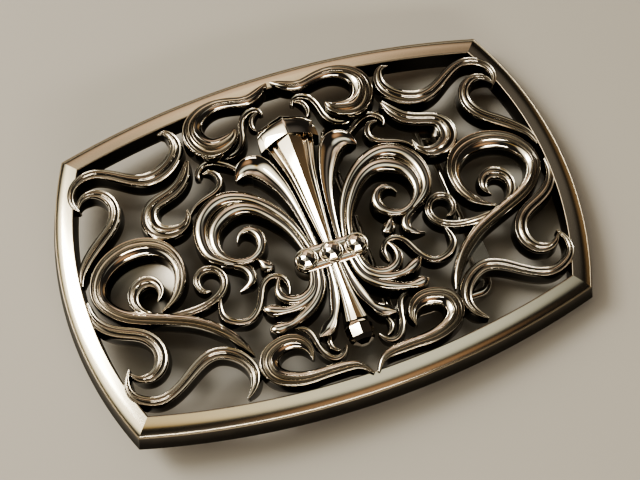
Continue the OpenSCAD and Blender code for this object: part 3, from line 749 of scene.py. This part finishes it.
# %% Side petals
petal_crown = 5.4
print("petals stand in mm:", round(petal_crown - scroll_back, 1))
both_sides("side_petal", [[
    (3.1, -4.6, 0.8), (4.4, 0.3, 1.1), (6.5, 4.2, 1.6), (9.8, 7.6, 2.1), (12.2, 8.9, 2.4),
    (14.8, 9.4, 2.6), (17.8, 8.3, 2.7), (19.9, 5.7, 2.6), (20.5, 2.6, 2.3), (19.9, -0.1, 1.9),
    (18.3, -1.8, 1.3), (16.4, -3, 0.5),
], [
    (4.2, -4.6, 0.8), (5.5, -0.1, 1.3), (7.3, 2.9, 1.8), (9.7, 5.5, 2.2), (12.8, 6.8, 2.7),
    (15.5, 6.2, 2.9), (17.6, 4.5, 2.5), (18.5, 1.9, 1.9), (18.1, -0.4, 1.4), (16.7, -2.1, 1.1),
    (14.5, -3.1, 1.1), (12.3, -2.6, 1.5), (10.9, -1, 1.7), (10.8, 0.8, 1.7), (12.1, 2.3, 1.3),
    (13.6, 2.2, 0.8), (14.7, 0.8, 0.2),
]], band, "fleur_de_lis", back=scroll_back, crown=petal_crown, sink=0.6)
both_sides("petal_barb", [[
    (18.6, -2.4, 0.6), (16.2, -3.1, 1.4), (14.5, -4.4, 1.7), (14.2, -6.1, 1.5), (15.2, -7.2, 0.9),
    (16.9, -7.8, 0.2),
]], band, "scrollwork", back=scroll_back, crown=scroll_crown)
both_sides("petal_bud", [[
    (12.8, -2.9, 1.2), (11.9, -3.7, 0.8), (11.2, -4.9, 2.3), (10, -5.5, 0.4),
]], band, "scrollwork", back=scroll_back, crown=scroll_crown, sink=0.3)
both_sides("feather_petal", [[
    (2.1, -4.6, 1), (2.9, 2.6, 1.5), (4, 7.6, 2.4), (5.6, 11.4, 3.6), (7.7, 13.8, 4.2), (9.8, 13.7, 2.8),
    (11.4, 12.5, 0.3),
]], spoon, "fleur_de_lis", back=scroll_back, crown=petal_crown, sink=1.5, lean=0.10)

# %% [markdown]
# Below the collar the same bands come out again as three leaves a side, two plumes and a quill. A
# path that widens just before its end gives a bud at the tip. The quill and the centre petal are
# straight, so their spines are lines, and their roofs have crisp ridges from a low crease angle.

# %% Lower leaves and tail
both_sides("lower_leaf", [[
    (3, -8.7, 1.3), (3.6, -11.5, 1.7), (5.6, -14.2, 1.9), (8.6, -15.9, 1.6), (11.2, -16.6, 1.4),
    (12.8, -16.6, 2.2), (14.3, -16.2, 0.3),
], [
    (3.9, -8.7, 1.2), (5, -12.1, 1.7), (8, -13.8, 1.8), (10.8, -13.9, 1.4), (12.6, -13.3, 2.2),
    (14.3, -12.2, 0.3),
], [
    (4.3, -8.7, 0.9), (5.1, -11.2, 1.4), (7, -12.6, 1.6), (9.2, -12.5, 1.7), (10.7, -11, 1.5),
    (10.6, -9.2, 0.9), (9.9, -7.8, 0.4),
]], band, "fleur_de_lis", back=scroll_back, crown=petal_crown, sink=0.8)
both_sides("tail_plume", [[
    (1.3, -8.8, 0.9), (1.7, -12.3, 1.3), (2.5, -15.6, 1.6), (3.6, -17.9, 1.4), (4.9, -19.2, 2.3),
    (6.8, -20.2, 0.3),
]], spoon, "fleur_de_lis", back=scroll_back, crown=petal_crown, sink=0.3)

# %% Quill and centre petal
quill_path = [(0, -8.7, 1.5), (0, -15.3, 2.5), (0, -19.2, 3.8)]
quill = ribbon(quill_path, keel, back=scroll_back, crown=petal_crown + 0.3, sink=0.2)
piece("tail_quill_cast", [quill], "fleur_de_lis", "tail_quill", crease=25.0)
centre_path = [(0, -4.6, 1.7), (0, 4.5, 3.8), (0, 11.4, 6.2), (0, 16.4, 9.1), (0, 18.9, 9.9)]
centre = ribbon(centre_path, keel, back=scroll_back, crown=petal_crown + 1.2, sink=1.3, across=91)
piece("centre_petal_cast", [centre], "fleur_de_lis", "centre_petal", crease=28.0)

# %% [markdown]
# ## Petal cap
# The centre petal ends in a cap like a small visor, with a sharp ridge and a hem that hangs over the
# petal. A ribbon can't round off its own end, so the cap is a grid of its own: t runs from the hem to
# the back, and s across.

# %% Petal cap
cap_half = 5.4
cap_hem_y = 17.2
cap_length = 5.2
cap_crown = 6.9


def cap_roof(steps=36, across=61):
    """A roof of two soft facets, t from 0 at the hem to 1 at the back, s from -1 to 1 across.
    Half its width is cap_half times the root of 1 less the taper, which is a cube. Its crown falls
    by 2.4 times the power 3.4 of t, and each facet by 0.8 |s| plus 0.2 times the fourth power of s,
    times its drop. The hem hangs back by s squared, and the first three rings tuck it under."""
    t = np.concatenate([np.zeros(3), np.linspace(0, 1, steps)])[:, None]
    tuck_y = np.concatenate([[1.6, 0.25, 0.03], np.zeros(steps)])[:, None]
    tuck_z = np.concatenate([[0.42, 0.36, 0.12], np.zeros(steps)])[:, None]
    s = np.linspace(-1, 1, across)[None, :]
    taper = np.clip((t - 0.08) / 0.92, 0, 1) ** 3.0
    half = cap_half * np.sqrt(np.clip(1 - taper, 0.0004, 1))
    y = cap_hem_y + cap_length * t - 1.1 * s**2 * (1 - t) ** 1.5 + tuck_y
    crown = cap_crown - 2.4 * t**3.4 - tuck_z
    drop = 2.3 - 0.4 * t
    top = crown - drop * (0.8 * np.sqrt(s**2 + 0.0004) + 0.2 * s**4)
    x = half * s + 0 * t
    walls = np.array([0.0, 0.5, 0.9])[None, :]
    left_z = scroll_back + (top[:, :1] - scroll_back) * walls
    right_z = scroll_back + (top[:, -1:] - scroll_back) * walls[:, ::-1]
    still = 0 * walls
    left_wall = np.stack([x[:, :1] + still, y[:, :1] + still, left_z], -1)
    right_wall = np.stack([x[:, -1:] + still, y[:, -1:] + still, right_z], -1)
    seam = np.stack([0 * t, y[:, :1], 0 * t + scroll_back], -1)
    grid = np.concatenate([seam, left_wall, np.stack([x, y, top], -1), right_wall], 1)
    # The walls get low relief, and the rings tucked under the hem are dimmed: both darkenings are painted
    # shade, over the oxide of the antique finish.
    relief = np.concatenate([[0.3], [0.0, 0.05, 0.4], np.full(across, 1.0), [0.4, 0.05, 0.0]])
    hem_underside_shade = np.concatenate([[0.3, 0.9, 1.0], np.ones(steps)])[:, None]
    return Shell(grid, relief[None, :] * hem_underside_shade)


piece("petal_cap_cast", [cap_roof()], "fleur_de_lis", "petal_cap", crease=22.0)

# %% [markdown]
# ## Collar, beads and finial
# The collar is a round-ended bar that clasps the petals. Three rose-cut beads sit on it, each in a
# raised collet. Beads and finial are turned shapes with few sides and flat shading, so that their
# facets catch the light one at a time.

# %% Turned shapes
def turned(radii, heights, sides, at, shine, tilt=0.0, twist=0.0):
    """A surface of revolution about +Z. Each ring is a circle of its radius at its height, started
    at the angle twist. Then the whole is tilted about Y and moved to its place."""
    angle = np.linspace(0, 2 * math.pi, sides, endpoint=False)[None, :] + twist
    r = np.array(radii, float)[:, None]
    h = np.array(heights, float)[:, None]
    points = np.stack([r * np.cos(angle), r * np.sin(angle), h + 0 * angle], -1)
    turn = np.array(Matrix.Rotation(math.radians(tilt), 3, "Y"))
    return Shell(points @ turn.T + np.array(at, float), np.array(shine, float)[:, None])


# %% Collar
collar_half = 4.2
collar_round = 2.5
collar_y = -6.5
collar_crown = 5.55
edge_inset = 1.3
edge_drop = 1.1
bend = np.linspace(0, math.pi / 2, 8)
inset = np.concatenate([[0.2, 0.0, 0.0], edge_inset * (1 - np.cos(bend)), [1.5, 2.0]])
wall_z = [scroll_back, scroll_back + 0.2, 3.0]
edge_z = collar_crown - edge_drop * (1 - np.sin(bend))
collar_z = np.concatenate([wall_z, edge_z, [collar_crown - 0.14, collar_crown - 0.15]])
heading = np.linspace(0, 2 * math.pi, 96, endpoint=False)
reach = (collar_round - inset)[:, None]
collar_x = np.sign(np.cos(heading)) * collar_half + reach * np.cos(heading)
collar_grid = np.stack([collar_x, collar_y + reach * np.sin(heading), collar_z[:, None] + 0 * heading], -1)
# The first three rings are the collar's wall, kept dark: painted shade, with some oxide.
collar_rub_and_shade = np.concatenate([[0.1, 0.1, 0.4], np.full(8, 0.98), [0.35, 0.4]])
piece("collar_band", [Shell(collar_grid, collar_rub_and_shade[:, None])], "fleur_de_lis", "collar")

# %% Collar beads
bead_places = [(x, collar_y, 0) for x in (-4.5, 0.0, 4.5)]
collet_r = [1.80, 2.06, 2.10, 2.02, 1.86, 1.76]
collet_z = [5.0, 5.0, 5.48, 5.68, 5.68, 5.5]
collet_shine = [0.2, 0.2, 0.9, 1, 0.9, 0.2]
collets = [turned(collet_r, collet_z, 40, place, collet_shine) for place in bead_places]
piece("collar_collets", collets, "fleur_de_lis", "collar_beads")
rose_r = [1.80, 1.80, 1.54, 0.94, 0.20]
rose_z = [5.2, 5.52, 6.22, 6.70, 6.94]
roses = [turned(rose_r, rose_z, 8, place, [0.2, 0.8, 1, 1, 1], twist=0.3) for place in bead_places]
piece("collar_beads_rose", roses, "fleur_de_lis", "collar_beads", faceted=True)

# %% [markdown]
# The finial is a cut bead at the quill's end. It is turned about its own length, so it is made
# upright and then laid down along Y, with a ridge between two facets facing up.

# %% Finial
finial_r = [0.8, 1.9, 2.35, 2.4, 1.2]
finial_h = [-2.4, -1.8, -1.0, 0.9, 2.4]
finial_y = -21.2
finial_z = 3.8
finial = turned(finial_r, finial_h, 8, (0, 0, 0), [0.9, 1, 1, 1, 0.9])
across_x, across_z, along_y = finial.points.T
finial.points = np.stack([across_x, along_y + finial_y, finial_z - across_z], -1)
piece("tail_finial_cut", [finial], "fleur_de_lis", "tail_finial", faceted=True)

# %% [markdown]
# ## Hardware on the back
# The hook is a stud on a round pad that is soldered behind the left volute, where the openwork lets
# its dished face show. The bail is a loop of wire that swings in two barrels. Pad and stud are turned
# shapes like the beads, with enough sides to be smooth. The dish is a parabola: its height is
# dish_z at the middle and rises by dish_depth times the square of the way out.

# %% Hook pad
pad_x = -32.0
pad_r = 6.6
dish_z = 0.3
dish_depth = 0.8
dish = np.linspace(1, 0, 15)[:-1]
pad_radii = np.concatenate([[6.5, 6.8, 6.8, 6.7], pad_r * dish])
pad_heights = np.concatenate([[-0.8, -0.6, 1.0, 1.1], dish_z + dish_depth * dish**2])
pad_shine = np.concatenate([[0.4, 0.4, 0.5, 0.8], np.full(14, 0.40)])
pad = turned(pad_radii, pad_heights, 96, (pad_x, 0, 0), pad_shine)
piece("hook_pad_dished", [pad], "hardware", "hook_pad")

# %% [markdown]
# The stud is what enters a hole in the belt. It leans outwards, so that the belt's pull keeps it
# in, and a boss at its root spreads that pull over the pad. Its tip is a quarter circle turned round.

# %% Hook stud
stud_low, stud_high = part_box("hook_stud")
stud_lean = 15.0
stud_r = 1.9
root_z = -0.8
tip_z = -6.9
stud_length = (root_z - (tip_z + stud_r)) / math.cos(math.radians(stud_lean))
tip = np.linspace(0, 1, 9)[:-1] * math.pi / 2
stud_radii = np.concatenate([[2.8, 2.8, 2.65, 1.95, 1.9, 1.9], stud_r * np.cos(tip)])
shank = [-0.6, -1.3, -1.5, -1.52, -1.7, -stud_length]
stud_heights = np.concatenate([shank, -stud_length - stud_r * np.sin(tip)])
stud_shine = np.concatenate([[0.4, 0.6, 0.8, 0.4, 0.8, 0.95], np.full(8, 1.0)])
stud = turned(stud_radii, stud_heights, 64, (pad_x, 0, root_z), stud_shine, tilt=stud_lean)
piece("hook_stud_turned", [stud], "hardware", "hook_stud")
print("stud from", [round(x / MM, 2) for x in stud_low], "to", [round(x / MM, 2) for x in stud_high])

# %% [markdown]
# A hinge barrel is a short tube, soldered to the back on a saddle and drilled for the wire. Cutting
# the hole with a Boolean would leave a ragged mesh. Instead the section runs along the outside and
# back through the bore, and is carried round the bore's axis, so the hole is part of the surface.

# %% Hinge barrels
hinge_x = 25.0
hinge_y = 13.0
wire_z = -1.3
wire_r = 0.8
barrel_r = 2.0
barrel_l = 5.0
bore_r = 0.85
bevel = 0.15
saddle_half = 1.5
saddle_rise = 2.5


def barrel(y):
    """A drilled tube on a saddle. In polar form about the bore, its outside is the larger of the tube's
    radius and the saddle's reach. Its section runs along the outside, over the end and back through
    the bore."""
    angle = np.linspace(0, 2 * math.pi, 144, endpoint=False)[:, None]
    sine, cosine = np.sin(angle), np.cos(angle)
    sideways = saddle_half / np.maximum(np.abs(sine), 1e-6)
    upwards = saddle_rise / np.maximum(cosine, 1e-6)
    outside = np.maximum(barrel_r, np.where(cosine > 0, np.minimum(sideways, upwards), 0))
    half = barrel_l / 2
    outer_ends = [-half + bevel, -half / 2, half / 2, half - bevel, half]
    bore_ends = [half, half - 0.1, 0.1 - half, -half]
    ends = np.array(outer_ends + bore_ends + [-half])
    is_bore = np.array([0, 0, 0, 0, 0, 1, 1, 1, 1, 0])
    edge = np.array([0, 0, 0, 0, bevel, -bevel, 0, 0, -bevel, bevel])
    radius = np.where(is_bore, bore_r - edge, outside - edge)
    grid = np.stack([hinge_x + radius * sine, y + ends + 0 * sine, wire_z + radius * cosine], -1)
    shine = np.array([0.9, 1, 1, 0.9, 0.8, 0.5, 0.1, 0.1, 0.5, 0.8])
    return Shell(grid, shine[None, :], looped=True)


for end, y in (("upper", hinge_y), ("lower", -hinge_y)):
    piece(f"hinge_barrel_{end}_drilled", [barrel(y)], "hardware", f"hinge_barrel_{end}", crease=30.0)

# %% [markdown]
# The bail is bent from one wire into a loop with rounded corners, and one long side of it is the
# hinge bar. A circle is carried round the loop, square to it at each step. It is the only piece on
# the second body, and it turns in the barrels with 0.05 mm to spare all round.

# %% Bail
bail_reach_x = 7.0
bail_half = 19.8
bail_corner = 2.0


def round_loop(x0, x1, y_half, radius, steps=12):
    """A rectangle with rounded corners, as points and outward directions: four quarter turns and the
    straights that join them."""
    turn = np.linspace(0, math.pi / 2, steps)
    quarters = np.array([[x1 - radius, y_half - radius], [x0 + radius, y_half - radius],
                         [x0 + radius, radius - y_half], [x1 - radius, radius - y_half]])
    angle = (np.arange(4)[:, None] * math.pi / 2 + turn).reshape(-1)
    centre = np.repeat(quarters, steps, 0)
    out = np.stack([np.cos(angle), np.sin(angle)], -1)
    return centre + radius * out, out


loop, out = round_loop(bail_reach_x, hinge_x, bail_half, bail_corner)
around = np.linspace(0, 2 * math.pi, 32, endpoint=False)[None, :]
wire_grid = np.stack([loop[:, :1] + wire_r * np.cos(around) * out[:, :1],
                      loop[:, 1:] + wire_r * np.cos(around) * out[:, 1:],
                      wire_z + wire_r * np.sin(around) + 0 * out[:, :1]], -1)
wire = Shell(wire_grid, np.full((1, 32), 0.92), looped=True)
piece("bail_wire", [wire], "hardware", "bail", body="bail")

# %% [markdown]
# ## Floor
# The buckle doesn't lie flat: it rests on the tip of its hook and on the two hinge barrels. The
# floor is the plane through those three contacts, so nothing floats. It goes on for metres, so
# that its edge never shows in the polished rails.

# %% Floor
barrel_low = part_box("hinge_barrel_upper")[0].z
slope = (barrel_low - stud_low.z) / (hinge_x * MM - (stud_low.x + stud_high.x) / 2)
floor_half = 6.0
floor_mesh = bpy.data.meshes.new("floor")
floor_x = np.array([-1.0, 1.0, 1.0, -1.0]) * floor_half
floor_y = np.array([-1.0, -1.0, 1.0, 1.0]) * floor_half
floor_z = barrel_low + slope * (floor_x - hinge_x * MM)
floor_mesh.from_pydata(np.stack([floor_x, floor_y, floor_z], -1).tolist(), [], [(0, 1, 2, 3)])
floor = bpy.data.objects.new("floor", floor_mesh)
bpy.context.scene.collection.objects.link(floor)
floor_paint = Shader(bpy.data.materials.new("floor_paint"))
floor_paint.surface.inputs["Base Color"].default_value = (0.56, 0.545, 0.52, 1)
floor_paint.surface.inputs["Roughness"].default_value = 0.8
floor_mesh.materials.append(floor_paint.owner)
print("floor slope in degrees:", round(math.degrees(math.atan(slope)), 2))

# %% [markdown]
# ## Light
# Silver shows what is round it, so its look is made by what it reflects. Two soft panels light the
# floor and give the shadows. One stands high on the left, and one low in front.

# %% Panels
def panel(name, at, size, power, colour):
    """A soft rectangular light at a place in mm that faces the buckle."""
    light = bpy.data.lights.new(name, "AREA")
    light.shape = "RECTANGLE"
    light.size, light.size_y = size[0] * MM, size[1] * MM
    light.energy = power
    light.color = colour
    lamp = bpy.data.objects.new(name, light)
    bpy.context.scene.collection.objects.link(lamp)
    place = Vector(at) * MM
    lamp.matrix_world = Matrix.Translation(place) @ (-place).to_track_quat("-Z", "Y").to_matrix().to_4x4()


panel("key", (-250, 170, 360), (150, 190), 0.95, (1.0, 0.97, 0.88))
panel("front", (-60, -330, 190), (300, 40), 0.35, (1.0, 0.90, 0.76))
print("panels:", len(bpy.data.lights))

# %% [markdown]
# ## Studio dome
# The rest of the room is a dark world with a few soft glows. More panels could do it, but each would
# light the floor as well, and a world can place a reflection without moving a lamp. A glow is a
# cone of directions, full in its middle and fading to its end. The dot product of a direction with
# the glow's middle is the cosine of the angle between them, so it says how near they are. The glow on
# the left makes the cream highlights. Warm ones make the copper glints, and the gaps between them
# make the dark that gives the flutes their shape. A high-contrast look keeps the oxide deep.

# %% Studio dome
# Each glow is (towards, degrees out to which it is full, degrees at which it ends, colour).
glows = [
    ((-0.58, 0.36, 0.73), 16, 37, (1.80, 1.64, 1.28)),
    ((0.14, 0.00, 0.99), 6, 23, (0.74, 0.73, 0.62)),
    ((0.50, 0.38, 0.78), 6, 20, (0.14, 0.125, 0.11)),
    ((0.10, 0.70, 0.70), 2, 11, (0.42, 0.40, 0.30)),
    ((-0.15, -0.02, 0.99), 3, 15, (0.42, 0.27, 0.08)),
    ((0.10, 0.86, 0.50), 6, 30, (0.76, 0.57, 0.42)),
    ((0.15, -0.60, 0.80), 4, 20, (0.42, 0.25, 0.14)),
    ((0.05, -0.95, 0.30), 4, 16, (1.50, 1.35, 1.10)),
    ((0.95, 0.20, 0.25), 5, 24, (0.22, 0.14, 0.07)),
]
dome = Shader(bpy.data.worlds.new("studio_dome"))
direction = dome.add("ShaderNodeTexCoord", {}, {}).outputs["Generated"]
radiance = (0.026, 0.023, 0.020)
for towards, full, end, colour in glows:
    middle = Vector(towards).normalized()
    nearness = Value(dome, dome.vector("DOT_PRODUCT", direction, middle).outputs["Value"])
    outer = math.cos(math.radians(end))
    inside = ((nearness - outer) / (math.cos(math.radians(full)) - outer)).clamp()
    glow = dome.vector("SCALE", colour)
    dome.feed(glow.inputs["Scale"], inside**1.6)
    radiance = dome.vector("ADD", radiance, glow.outputs[0]).outputs[0]
dome.feed(dome.surface.inputs["Color"], radiance)
dome.surface.inputs["Strength"].default_value = 1.0
bpy.context.scene.world = dome.owner
bpy.context.scene.view_settings.look = "AgX - High Contrast"
print("glows:", len(glows))
